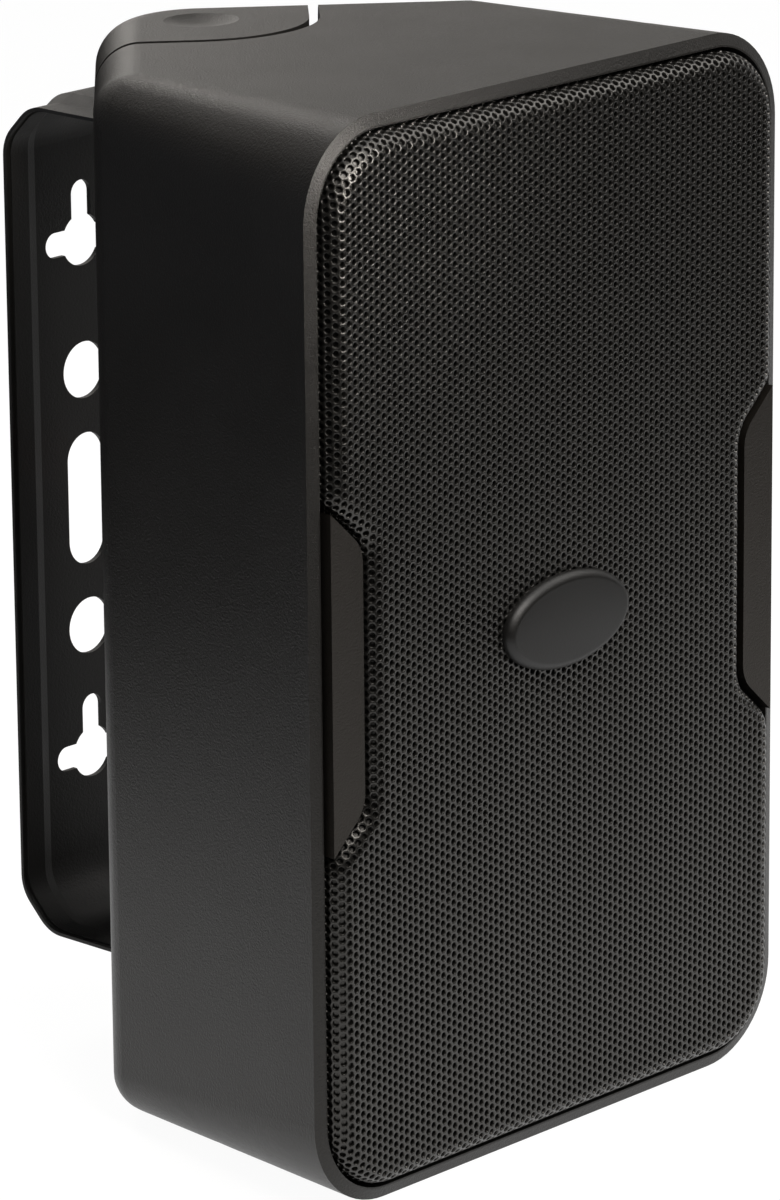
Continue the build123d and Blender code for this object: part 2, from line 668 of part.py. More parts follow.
def make_crossover():
    board = Pos(0, BOARD_Y + BOARD_T / 2, 0) * Box(2 * BOARD_W, BOARD_T, 2 * BOARD_H)
    nuts = []
    for z in (-STUD_Z, STUD_Z):
        board -= rod(STUD_R + SNUG, 0, BOARD_Y + 9, 0, z)
        nuts.append(tube(4, STUD_R, BOARD_Y - 3, BOARD_Y, 0, z))
    write("crossover_board", board)
    write("board_nut", Compound(children=nuts))
    write("crossover_coil", tube(13, 6, BOARD_Y - 14, BOARD_Y, 0, 33))
    can = Pos(0, BOARD_Y - 6, -30) * Rot(0, 90, 0) * Cylinder(6, 28)
    write("crossover_capacitor", can)
    write("crossover_resistor", Pos(0, BOARD_Y - 4, -45) * Box(26, 8, 8))


def lead(points, radius):
    """A round wire along straight runs joined by arcs."""
    path = FilletPolyline(*points, radius=WIRE_BEND)
    return sweep(Plane(path @ 0, z_dir=path % 0) * Circle(radius), path)


def make_wires():
    leads = []
    for d in (-2.5, 2.5):
        points = [(42, BAFFLE_BACK + 37.5, WOOFER_Z + d), (42, 66, WOOFER_Z + d), (15, BOARD_Y - 15, -19 + d)]
        leads.append(lead(points + [(15, BOARD_Y, -19 + d)], WIRE_R))
    write("wire_woofer", Compound(children=leads))
    leads = []
    for d in (-2.5, 2.5):
        points = [(9, BAFFLE_BACK + 34, TWEETER_Z + d), (9, 60, TWEETER_Z + d), (16, BOARD_Y - 15, 13 + d)]
        leads.append(lead(points + [(16, BOARD_Y, 13 + d)], WIRE_R))
    write("wire_tweeter", Compound(children=leads))
    pad = Pos(0, 48, TOP_INNER - 4.5) * Box(96, 44, 9)
    write("wadding", both_ends(pad))


make_enclosure()
make_bracket()
make_caps()
make_pivots()
make_baffle()
make_grille()
make_woofer()
make_tweeter()
make_terminals()
make_crossover()
make_wires()

os.makedirs("parts", exist_ok=True)
for node, shape in PARTS.items():
    export_step(shape, "parts/" + node + ".step")
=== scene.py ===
"""Looks of the outdoor patio speaker: punched grille, finishes, studio stage and camera."""

import math

import bmesh
import bpy
import numpy as np
from bpy.props import FloatProperty, FloatVectorProperty, IntProperty, PointerProperty
from bpy.types import Operator, Panel, PropertyGroup
from mathutils import Matrix, Vector


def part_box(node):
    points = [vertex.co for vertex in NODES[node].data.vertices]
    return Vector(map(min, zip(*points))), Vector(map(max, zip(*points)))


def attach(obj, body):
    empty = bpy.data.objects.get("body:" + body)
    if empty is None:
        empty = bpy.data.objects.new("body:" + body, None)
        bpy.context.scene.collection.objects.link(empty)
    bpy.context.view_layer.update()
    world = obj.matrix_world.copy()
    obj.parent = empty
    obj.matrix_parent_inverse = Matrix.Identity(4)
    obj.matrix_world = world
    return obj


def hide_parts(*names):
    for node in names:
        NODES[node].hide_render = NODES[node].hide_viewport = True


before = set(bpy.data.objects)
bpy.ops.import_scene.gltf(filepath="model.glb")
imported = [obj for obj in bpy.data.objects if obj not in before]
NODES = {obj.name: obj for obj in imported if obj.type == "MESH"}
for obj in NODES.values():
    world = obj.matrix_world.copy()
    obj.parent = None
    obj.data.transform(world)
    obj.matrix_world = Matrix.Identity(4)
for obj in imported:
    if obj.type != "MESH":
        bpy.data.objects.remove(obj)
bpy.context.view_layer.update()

bl_info = {
    "name": "Patio Speaker",
    "version": (1, 0, 0),
    "blender": (4, 5, 0),
    "location": "View3D > Sidebar > Speaker",
    "description": "Punches the grille and finishes every piece of the patio speaker",
    "category": "Object",
}

GRILLE_LOW, GRILLE_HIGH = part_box("grille")
GRILLE_MIDDLE = (GRILLE_LOW.z + GRILLE_HIGH.z) / 2
MM = 0.001
WHITE = (1, 1, 1, 1)

# Tolerances: one place, on a line, nearer to a line (metres), upright wall, area of a wall (square metres)
SAME_PLACE = 1e-6
ON_LINE = 1e-7
NEARER = 1e-9
UPRIGHT = 0.01
SAME_AREA = 1e-8

# Punched sheet: sides of a cell and of a hole, and what is kept near the hem, in pitches
CELL_SIDES = 6
CELL_TURN = math.pi / 6
HOLE_SIDES = 12
OUTLINE_OVERRUN = 0.02
HEM_TRIM = 0.3
HEM_REACH = 2

# Angles in degrees up to which edges are shaded smooth
GRILLE_SMOOTH = 60
BADGE_SMOOTH = 35
CLAMP_SMOOTH = 20

# Badge: sides of the oval and of a pin, its bevels (share of the edge, segments, profile), where pins begin
BADGE_SIDES = 96
PIN_SIDES = 24
BADGE_BEVELS = ((1.0, 6, 0.38), (0.14, 2, 0.5))
PIN_START = 0.8

# Clamp: sides for each rib, and the share of a rib's pitch that stays proud
RIB_SIDES = 4
RIB_SHARE = 0.49

# Grain: how many times broader the slow drift of colour is than the fine grain
DRIFT = 60

# Specular tints and levels of the outer plastics
HOUSING_SHEEN = {"Specular_Tint": (1.0, 0.98, 0.955, 1), "Specular_IOR_Level": 0.37}
BAFFLE_SHEEN = {"Specular_Tint": (1, 0.9, 0.8, 1), "Specular_IOR_Level": 0.42}
GRILLE_SHEEN = {"Specular_Tint": (1, 0.965, 0.92, 1), "Specular_IOR_Level": 0.65}

# Inner finishes: name, colour, roughness, grain and depth in mm, other settings, nodes
METAL = {"Metallic": 1.0}
DRIVER_FINISHES = (
    ("basket_paint", (0.02, 0.02, 0.02), 0.5, 0.6, 0.02, {}, ("woofer_basket",)),
    ("cone_pulp", (0.03, 0.03, 0.032), 0.7, 0.7, 0.06, {}, ("woofer_cone", "woofer_dust_cap")),
    ("surround_rubber", (0.02, 0.02, 0.02), 0.62, 0.6, 0.02, {}, ("woofer_surround",)),
    ("spider_cloth", (0.42, 0.29, 0.12), 0.9, 0.5, 0.08, {}, ("woofer_spider",)),
    ("former_film", (0.35, 0.2, 0.06), 0.4, 0.8, 0.01, {}, ("woofer_former",)),
    ("winding_copper", (0.72, 0.3, 0.12), 0.35, 0.3, 0.05, METAL, ("woofer_winding",)),
    ("driver_steel", (0.5, 0.5, 0.51), 0.36, 0.5, 0.01, {"spread": 0.1, **METAL},
     ("woofer_plate", "woofer_yoke", "tweeter_plate", "tweeter_yoke")),
    ("ferrite", (0.05, 0.048, 0.046), 0.72, 0.6, 0.05, {}, ("woofer_magnet", "tweeter_magnet")),
    ("horn_plastic", (0.016, 0.016, 0.017), 0.45, 0.5, 0.02, {}, ("tweeter_horn",)),
    ("dome_film", (0.05, 0.05, 0.052), 0.45, 0.6, 0.02, {}, ("tweeter_dome",)),
    ("tag_card", (0.36, 0.2, 0.09), 0.7, 0.6, 0.03, {}, ("woofer_tag", "tweeter_tag")),
    ("gasket_foam", (0.03, 0.03, 0.03), 0.95, 0.8, 0.15, {},
     ("woofer_gasket", "baffle_gasket", "terminal_gasket")),
)
FITTING_FINISHES = (
    ("screw_zinc", (0.55, 0.54, 0.5), 0.34, 0.5, 0.01, {"spread": 0.12, **METAL}, ("pivot_bolt", "badge_clip")),
    ("screw_black", (0.02, 0.02, 0.02), 0.42, 0.5, 0.01, {"spread": 0.12},
     ("baffle_screw", "woofer_screw", "tweeter_screw", "terminal_screw")),
    ("turned_brass", (0.78, 0.55, 0.2), 0.3, 0.5, 0.01, {"spread": 0.1, **METAL},
     ("pivot_insert", "terminal_stud", "board_nut")),
    ("washer_nylon", (0.55, 0.54, 0.5), 0.5, 0.6, 0.02, {}, ("pivot_washer",)),
    ("terminal_plastic", (0.016, 0.016, 0.016), 0.45, 0.5, 0.02, {}, ("terminal_panel",)),
    ("board_lacquer", (0.02, 0.16, 0.05), 0.4, 0.9, 0.02, {}, ("crossover_board",)),
    ("coil_copper", (0.7, 0.3, 0.12), 0.36, 0.6, 0.08, METAL, ("crossover_coil",)),
    ("capacitor_sleeve", (0.04, 0.05, 0.16), 0.35, 0.8, 0.01, {}, ("crossover_capacitor",)),
    ("resistor_ceramic", (0.7, 0.68, 0.62), 0.75, 0.5, 0.04, {"spread": 0.12}, ("crossover_resistor",)),
    ("wire_sleeve", (0.18, 0.02, 0.02), 0.45, 0.6, 0.01, {}, ("wire_woofer", "wire_tweeter")),
    ("wadding_fibre", (0.72, 0.71, 0.68), 0.95, 1.5, 0.6, {"spread": 0.15}, ("wadding",)),
)

# Floor: its side, the lumps of its drift, how dark they get, and the share of glow where it is seen
FLOOR_SIDE = 12.0
FLOOR_DRIFT = 0.4
FLOOR_DARKER = 0.98
FLOOR_GLOW_SHARE = 0.88

# Dark drapes: name, radius, height, angles in degrees between which it hangs, and its middle
DRAPE_SIDES = 72
DRAPE_LIFT = 0.01
# Size in metres of the lumps of painted fold shade in the drapes' colour
DRAPE_FOLD_SHADE_SIZE = 0.05
DRAPE_MIDDLE = (0.1, -0.06)
DRAPES = (
    ("left_drape", 0.36, 1.0, 85, 200, DRAPE_MIDDLE),
    ("front_drape", 0.38, 0.45, 200, 345, DRAPE_MIDDLE),
    ("rim_drape", 0.27, 0.17, 225, 297, (0.0, -0.06)),
    ("back_drape", 0.75, 1.3, 0, 85, DRAPE_MIDDLE),
)

# Softboxes: name, setting of its power, size, place, point it faces, own tint or none, spread in degrees
AIMED = (0, 0, 0.2)
COOL = (0.8, 0.86, 1)
SOFTBOXES = (
    ("top_softbox", "top_power", (0.66, 0.56), (-0.16, -0.765, 1.04), AIMED, None, 180),
    ("front_softbox", "front_power", (0.8, 0.7), (0.55, -1.1, 0.55), AIMED, None, 180),
    ("back_softbox", "back_power", (1.0, 0.13), (0.37, 0.41, 0.32), AIMED, None, 180),
    ("corner_softbox", "corner_power", (0.08, 0.08), (0.006, -0.307, 0.286), (-0.066, -0.073, 0.236), None, 30),
    ("right_softbox", "right_power", (0.5, 0.5), (0.75, -0.35, 0.92), AIMED, None, 180),
    ("left_softbox", "left_power", (0.2, 0.05), (-0.226, 0.13, 0.235), (-0.07, 0, 0.2), COOL, 180),
    ("rear_softbox", "rear_power", (0.35, 0.25), (0.18, 0.6, 0.6), AIMED, None, 180),
)

# Camera fitted to the photo: its axes and place in the frame it was fitted in, and the shift to the part's frame
CAMERA_RIGHT = Vector((0.68205701, -0.73124691, -0.00872942))
CAMERA_DOWN = Vector((-0.21091337, -0.18526787, -0.95978715))
CAMERA_AHEAD = Vector((0.70022410, 0.65647070, -0.28059299))
CAMERA_PLACE = (-1.04618288, -0.92844700, 0.41298774)
FRAME_SHIFT = (0, -0.0741, 0.1214)
FOCAL_PIXELS = 6624.7514
PHOTO_HEIGHT = 1200.0
SENSOR = 36.0
CLIP_NEAR = 0.05
CLIP_FAR = 50.0


def colour(name, description, default):
    """A linear colour that the user may change."""
    return FloatVectorProperty(
        name=name, description=description, default=default, size=3, min=0.0, max=1.0, subtype="COLOR"
    )


def length(name, description, default, low=0.0):
    """A length in metres that the user may change."""
    return FloatProperty(
        name=name, description=description, default=default, min=low, precision=5, unit="LENGTH"
    )


def power(name, description, default):
    """A lamp's power that the user may change."""
    return FloatProperty(name=name, description=description, default=default, precision=4, unit="POWER")


def amount(name, description, default):
    """A plain strength that the user may change."""
    return FloatProperty(name=name, description=description, default=default, min=0.0)


class GrilleSizes(PropertyGroup):
    """Sizes of the punched sheet"""

    pitch: length("Pitch", "Distance between neighbouring holes of a column", 2.0 * MM, 0.5 * MM)
    hole: length("Hole", "Radius of a punched hole", 0.71 * MM, 0.1 * MM)
    burr: length("Edge", "Rounding left by the punch at a hole's edge", 0.09 * MM)
    sheet: length("Sheet", "Thickness of the steel sheet", 0.9 * MM, 0.1 * MM)
    roll: length("Roll", "Radius of the rolled edge", 4.5 * MM, 1 * MM)
    corner: length("Corner", "Radius of the sheet's corners", 17.7 * MM)
    notch: length("Notch", "Half distance between the two grip notches", 62.0 * MM)
    notch_inner: length("Notch inner", "Half height of a notch at its inner end", 29.5 * MM)
    notch_outer: length("Notch outer", "Half height of a notch at the sheet's edge", 39.5 * MM)
    notch_bend: length("Notch bend", "Radius of the notch's bends", 8.0 * MM)


class BadgeSizes(PropertyGroup):
    """Sizes of the bare oval plate"""

    plate: length("Plate", "Thickness of the plate", 2.5 * MM, 1 * MM)
    edge: length("Edge", "Rounding of the plate's front edge", 1.7 * MM)
    pin: length("Pin", "Radius of the two fixing pins", 1.2 * MM)
    pin_place: length("Pin place", "Distance of a pin from the middle", 11.0 * MM)


class ClampSizes(PropertyGroup):
    """Sizes of the ribbed terminal clamps"""

    ribs: IntProperty(name="Ribs", description="Number of ribs around a clamp", default=14, min=6)
    chamfer: length("Chamfer", "Depth of a rib and of the chamfers at the ends", 0.5 * MM)
    stud: length("Stud", "Radius of the stud that a clamp is screwed on", 2.0 * MM)


class SpeakerColours(PropertyGroup):
    """Colours of the outer finishes"""

    plastic: colour("Plastic", "Moulded housing", (0.0112, 0.0106, 0.0099))
    bracket: colour("Bracket", "Painted steel strap", (0.0098, 0.0089, 0.0077))
    grille: colour("Grille", "Painted grille sheet", (0.0053, 0.0051, 0.0047))
    badge: colour("Badge", "Bare oval plate", (0.0060, 0.0057, 0.0053))
    baffle: colour("Baffle", "Grips and board behind the grille", (0.0050, 0.0043, 0.0036))


class StageLook(PropertyGroup):
    """Floor and lamps"""

    floor: colour("Floor", "Pale studio floor", (0.82, 0.82, 0.82))
    glow: amount("Glow", "Brightness of the floor where it is seen", 1.08)
    lamp: colour("Lamp", "Tint of the softboxes", (1.0, 0.96, 0.91))
    top_power: power("Top", "Power of the overhead softbox", 13.0)
    front_power: power("Front", "Power of the front softbox", 3.0)
    back_power: power("Back", "Power of the low softbox behind", 0.43)
    rear_power: power("Rear", "Power of the high softbox behind", 2.6)
    corner_power: power("Corner", "Power of the small lamp near the rim", 0.028)
    right_power: power("Right", "Power of the softbox over the right", 2.4)
    left_power: power("Left", "Power of the cool strip at the left", 0.06)
    ambient: amount("Ambient", "Light from all around", 0.22)


class Value:
    """A socket of a material; arithmetic on it adds the Math nodes."""

    def __init__(self, finish, socket):
        self.finish = finish
        self.socket = socket

    def maths(self, operation, other):
        return self.finish.node("ShaderNodeMath", {"operation": operation}, {0: self, 1: other})

    def __add__(self, other):
        return self.maths("ADD", other)

    def __mul__(self, other):
        return self.maths("MULTIPLY", other)


class Nodes:
    """A node tree that nodes are added to."""

    def __init__(self, tree):
        self.tree = tree

    def node(self, kind, settings=None, inputs=None, output=0):
        """Add a node, set it up, fill or link its sockets and give one output."""
        made = self.tree.nodes.new(kind)
        for name, value in (settings or {}).items():
            setattr(made, name, value)
        for key, value in (inputs or {}).items():
            if isinstance(value, Value):
                self.tree.links.new(value.socket, made.inputs[key])
            else:
                made.inputs[key].default_value = value
        return Value(self, made.outputs[output])


class Finish(Nodes):
    """One material: a Principled shader and the nodes that feed it."""

    def __init__(self, name, **constants):
        self.material = bpy.data.materials.new(name)
        self.material.use_nodes = True
        super().__init__(self.material.node_tree)
        self.shader = self.tree.nodes["Principled BSDF"]
        for socket, value in constants.items():
            self.shader.inputs[socket.replace("_", " ")].default_value = value
        self.place = self.node("ShaderNodeTexCoord", output="Object")

    def feed(self, socket, value):
        """Link a value to an input of the shader."""
        self.tree.links.new(value.socket, self.shader.inputs[socket])

    def noise(self, size, detail=2.0, roughness=0.5):
        """Noise whose lumps are about this many metres across, around 0.5."""
        inputs = {"Vector": self.place, "Scale": 1 / size, "Detail": detail, "Roughness": roughness}
        return self.node("ShaderNodeTexNoise", {}, inputs)

    def between(self, share, first, second):
        """A colour that goes from the first to the second as share goes from 0 to 1."""
        inputs = {0: share, 6: (*first, 1), 7: (*second, 1)}
        return self.node("ShaderNodeMix", {"data_type": "RGBA"}, inputs, 2)

    def bump(self, height, depth):
        """Roughen the surface by a height, this many metres deep."""
        self.feed("Normal", self.node("ShaderNodeBump", {}, {"Distance": depth, "Height": height}))


def shade(rgb, factor):
    """A colour made darker or lighter."""
    return tuple(min(1.0, c * factor) for c in rgb)


def grained(name, rgb, rough, grain, depth, spread=0.35, rough_spread=0.1, **constants):
    """A finish with fine grain, slow drift of colour and roughness that follows both."""
    finish = Finish(name, **constants)
    fine = finish.noise(grain, 3.0, 0.6)
    broad = finish.noise(grain * DRIFT)
    share = fine * 0.5 + broad * 0.5
    finish.feed("Base Color", finish.between(share, shade(rgb, 1 - spread), shade(rgb, 1 + spread)))
    finish.feed("Roughness", fine * rough_spread + broad * rough_spread + (rough - rough_spread))
    finish.bump(fine, depth)
    return finish.material


def dress(material, *names):
    """Give CAD nodes one finish."""
    for name in names:
        slots = NODES[name].data.materials
        slots.clear()
        slots.append(material)


def dress_rows(rows):
    """Give the nodes of each row the finish that the row describes."""
    for name, rgb, rough, grain, depth, settings, nodes in rows:
        dress(grained(name, rgb, rough, grain * MM, depth * MM, **settings), *nodes)


def deselect():
    """Leave edit mode and select nothing."""
    if bpy.context.object and bpy.context.object.mode != "OBJECT":
        bpy.ops.object.mode_set(mode="OBJECT")
    bpy.ops.object.select_all(action="DESELECT")


def select_only(piece):
    """Select one piece and make it the active one."""
    deselect()
    piece.select_set(True)
    bpy.context.view_layer.objects.active = piece


def clear_selection(mesh):
    """Select nothing in a mesh being edited."""
    for part in (mesh.faces, mesh.edges, mesh.verts):
        for element in part:
            element.select = False


def coordinates(piece):
    """The places of a piece's vertices, a row for each."""
    co = np.empty(len(piece.data.vertices) * 3)
    piece.data.vertices.foreach_get("co", co)
    return co.reshape(-1, 3)


def place_vertices(piece, co):
    """Move a piece's vertices to the places in the rows."""
    piece.data.vertices.foreach_set("co", co.ravel())
    piece.data.update()


def add_ring(count, radius, depth, turn=0.0):
    """A ring of edges in the mesh being edited, facing the front."""
    bpy.ops.mesh.primitive_circle_add(
        vertices=count, radius=radius, location=(0, depth, 0), rotation=(math.pi / 2, turn, 0)
    )


def bridge_rings(piece, counts, closed=False):
    """Join neighbouring rings of the mesh being edited, in the order they were added."""
    starts = np.concatenate(([0], np.cumsum(counts)))
    rings = [set(range(low, high)) for low, high in zip(starts[:-1], starts[1:])]
    pairs = list(zip(rings[:-1], rings[1:])) + ([(rings[-1], rings[0])] if closed else [])
    for pair in pairs:
        mesh = bmesh.from_edit_mesh(piece.data)
        mesh.verts.ensure_lookup_table()
        clear_selection(mesh)
        for edge in mesh.edges:
            ends = {v.index for v in edge.verts}
            edge.select = any(ends <= ring for ring in pair)
        bmesh.update_edit_mesh(piece.data)
        bpy.ops.mesh.bridge_edge_loops()


def punched_cell(sizes):
    """One six-sided cell of the sheet around a punched hole, front at y 0."""
    deselect()
    side = sizes.pitch / math.sqrt(3)
    add_ring(CELL_SIDES, side, 0, CELL_TURN)
    cell = bpy.context.object
    bpy.ops.object.transform_apply(location=True, rotation=True, scale=True)
    bpy.ops.object.mode_set(mode="EDIT")
    add_ring(HOLE_SIDES, sizes.hole + sizes.burr, 0)
    add_ring(HOLE_SIDES, sizes.hole, sizes.burr)
    add_ring(CELL_SIDES, sizes.hole, sizes.sheet, CELL_TURN)
    add_ring(CELL_SIDES, side, sizes.sheet, CELL_TURN)
    bridge_rings(cell, [CELL_SIDES, HOLE_SIDES, HOLE_SIDES, CELL_SIDES, CELL_SIDES])
    bpy.ops.mesh.select_all(action="SELECT")
    bpy.ops.mesh.normals_make_consistent(inside=False)
    bpy.ops.object.mode_set(mode="OBJECT")
    return cell


def repeat(piece, count, step):
    """Copy a piece along a line, each copy a step further."""
    array = piece.modifiers.new("Repeat", "ARRAY")
    array.count = count
    array.use_relative_offset = False
    array.use_constant_offset = True
    array.constant_offset_displace = step
    bpy.ops.object.modifier_apply(modifier=array.name)


def rounded_corner(before, corner, after, radius, steps=14):
    """Points along the arc that rounds a corner of an outline."""
    b, c, a = (np.array(p) for p in (before, corner, after))
    u = (b - c) / np.linalg.norm(b - c)
    v = (a - c) / np.linalg.norm(a - c)
    half = math.acos(float(np.clip(u @ v, -1, 1))) / 2
    centre = c + (u + v) / np.linalg.norm(u + v) * radius / math.sin(half)
    start = c + u * radius / math.tan(half) - centre
    end = c + v * radius / math.tan(half) - centre
    sweep = math.atan2(start[0] * end[1] - start[1] * end[0], start @ end)
    arc = []
    for i in range(steps + 1):
        cos, sin = math.cos(sweep * i / steps), math.sin(sweep * i / steps)
        arc.append(centre + (start[0] * cos - start[1] * sin, start[0] * sin + start[1] * cos))
    return arc


def sheet_outline(sizes):
    """Upper right quarter of the sheet's outline, as X and height over its middle."""
    half_w = (GRILLE_HIGH.x - GRILLE_LOW.x) / 2
    half_h = (GRILLE_HIGH.z - GRILLE_LOW.z) / 2
    top = (-OUTLINE_OVERRUN, half_h)
    corner = (half_w, half_h)
    outer = (half_w, sizes.notch_outer)
    inner = (sizes.notch, sizes.notch_inner)
    foot = (sizes.notch, -OUTLINE_OVERRUN)
    points = [np.array(top)]
    points += rounded_corner(top, corner, outer, sizes.corner)
    points += rounded_corner(corner, outer, inner, sizes.notch_bend)
    points += rounded_corner(outer, inner, foot, sizes.notch_bend)
    return np.array(points + [np.array(foot)])


def outward(points, outline):
    """Signed distance of points outside an outline, and the direction away from it."""
    best = np.full(len(points), np.inf)
    sign = np.ones(len(points))
    away = np.zeros((len(points), 2))
    for start, end in zip(outline[:-1], outline[1:]):
        run = end - start
        normal = np.array([-run[1], run[0]]) / np.linalg.norm(run)
        t = np.clip((points - start) @ run / (run @ run), 0, 1)
        gap = points - (start + t[:, None] * run)
        far = np.linalg.norm(gap, axis=1)
        nearer = far < best - NEARER
        best[nearer] = far[nearer]
        side = np.where(gap @ normal >= 0, 1.0, -1.0)
        sign[nearer] = side[nearer]
        unit = gap / np.maximum(far, ON_LINE)[:, None] * side[:, None]
        away[nearer] = np.where(far[:, None] > ON_LINE, unit, normal)[nearer]
    return best * sign, away


def lay_cells(sizes, outline, skirt):
    """The flat quarter as joined cells, without those past the hem; leaves it being edited."""
    step = sizes.pitch * math.sqrt(3) / 2
    quarter = punched_cell(sizes)
    per_cell = len(quarter.data.vertices)
    repeat(quarter, 2, (step, 0, sizes.pitch / 2))
    repeat(quarter, int(outline[:, 1].max() / sizes.pitch) + 5, (0, 0, sizes.pitch))
    repeat(quarter, int(outline[:, 0].max() / step / 2) + 3, (2 * step, 0, 0))
    cells = coordinates(quarter).reshape(-1, per_cell, 3)
    middles = (cells.max(1) + cells.min(1)) / 2
    beyond = outward(middles[:, [0, 2]], outline)[0]
    drop = np.repeat(beyond + sizes.roll > skirt - HEM_TRIM * sizes.pitch, per_cell)
    bpy.ops.object.mode_set(mode="EDIT")
    bpy.ops.mesh.select_all(action="DESELECT")
    bpy.ops.object.mode_set(mode="OBJECT")
    quarter.data.vertices.foreach_set("select", drop)
    bpy.ops.object.mode_set(mode="EDIT")
    bpy.ops.mesh.delete(type="VERT")
    bpy.ops.mesh.select_all(action="SELECT")
    bpy.ops.mesh.remove_doubles(threshold=SAME_PLACE)
    return quarter


def close_edges(quarter, sizes):
    """Cut the quarter at the sheet's middle, wall up its open edge and tell which vertices are on that wall."""
    for axis in ((1, 0, 0), (0, 0, 1)):
        bpy.ops.mesh.select_all(action="SELECT")
        bpy.ops.mesh.bisect(plane_co=(0, 0, 0), plane_no=axis, use_fill=True, clear_inner=True)
    mesh = bmesh.from_edit_mesh(quarter.data)
    clear_selection(mesh)
    for edge in mesh.edges:
        edge.select = edge.is_boundary and all(v.co.y < SAME_PLACE for v in edge.verts)
    mesh.select_mode = {"EDGE"}
    bmesh.update_edit_mesh(quarter.data)
    bpy.ops.mesh.extrude_edges_move(TRANSFORM_OT_translate={"value": (0, sizes.sheet, 0)})
    bpy.ops.mesh.select_all(action="SELECT")
    bpy.ops.mesh.remove_doubles(threshold=SAME_PLACE)
    bpy.ops.mesh.normals_make_consistent(inside=False)
    mesh = bmesh.from_edit_mesh(quarter.data)
    hem = np.zeros(len(mesh.verts), bool)
    mesh.verts.index_update()
    wall = sizes.sheet * sizes.pitch / math.sqrt(3)
    for face in mesh.faces:
        if abs(face.normal.y) < UPRIGHT and abs(face.calc_area() - wall) < SAME_AREA:
            hem[[v.index for v in face.verts]] = True
    bpy.ops.object.mode_set(mode="OBJECT")
    return hem


def grille_quarter(sizes):
    """A quarter of the sheet, punched flat and then rolled over its edge."""
    depth = GRILLE_HIGH.y - GRILLE_LOW.y
    skirt = sizes.roll * math.pi / 2 + depth - sizes.roll
    outline = sheet_outline(sizes)
    quarter = lay_cells(sizes, outline, skirt)
    hem = close_edges(quarter, sizes)
    co = coordinates(quarter)
    flat = co[:, [0, 2]]
    beyond, away = outward(flat, outline)
    reach = beyond + sizes.roll
    hem &= reach > skirt - HEM_REACH * sizes.pitch
    along = np.where(hem, skirt, np.clip(reach, None, skirt))
    bent = along > 0
    turn = np.clip(along / sizes.roll, 0, math.pi / 2)
    inner = sizes.roll - co[:, 1]
    foot = flat - away * reach[:, None]
    rolled = foot + away * (inner * np.sin(turn))[:, None]
    back = sizes.roll - inner * np.cos(turn) + np.clip(along - sizes.roll * math.pi / 2, 0, None)
    co[bent, 0] = rolled[bent, 0]
    co[bent, 2] = rolled[bent, 1]
    co[bent, 1] = back[bent]
    co += (0, GRILLE_LOW.y, GRILLE_MIDDLE)
    place_vertices(quarter, co)
    return quarter


def mirrored(piece, name, flip_x, flip_z):
    """A copy of a piece turned over to another quarter, with its own mesh."""
    select_only(piece)
    bpy.ops.object.duplicate()
    copy = bpy.context.object
    copy.name = name
    flips = (-1 if flip_x else 1, 1, -1 if flip_z else 1)
    bpy.ops.object.mode_set(mode="EDIT")
    bpy.ops.mesh.select_all(action="SELECT")
    bpy.ops.transform.resize(value=flips, center_override=(0, 0, GRILLE_MIDDLE))
    bpy.ops.mesh.normals_make_consistent(inside=False)
    bpy.ops.object.mode_set(mode="OBJECT")
    return copy


class SPEAKER_OT_punch_grille(Operator):
    """Punch, roll and paint the steel grille"""

    bl_idname = "speaker.punch_grille"
    bl_label = "Punch the Grille"

    def execute(self, context):
        sizes = context.scene.grille_sizes
        tint = context.scene.speaker_colours.grille
        paint = grained("grille_paint", tint, 0.29, 0.25 * MM, 0.01 * MM, 0.15, 0.08, **GRILLE_SHEEN)
        first = grille_quarter(sizes)
        first.name = "grille_upper_right"
        first.data.materials.append(paint)
        pieces = [
            first,
            mirrored(first, "grille_upper_left", True, False),
            mirrored(first, "grille_lower_right", False, True),
            mirrored(first, "grille_lower_left", True, True),
        ]
        for piece in pieces:
            select_only(piece)
            bpy.ops.object.shade_smooth_by_angle(angle=math.radians(GRILLE_SMOOTH))
            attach(piece, "speaker")
            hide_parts("grille")
        return {"FINISHED"}


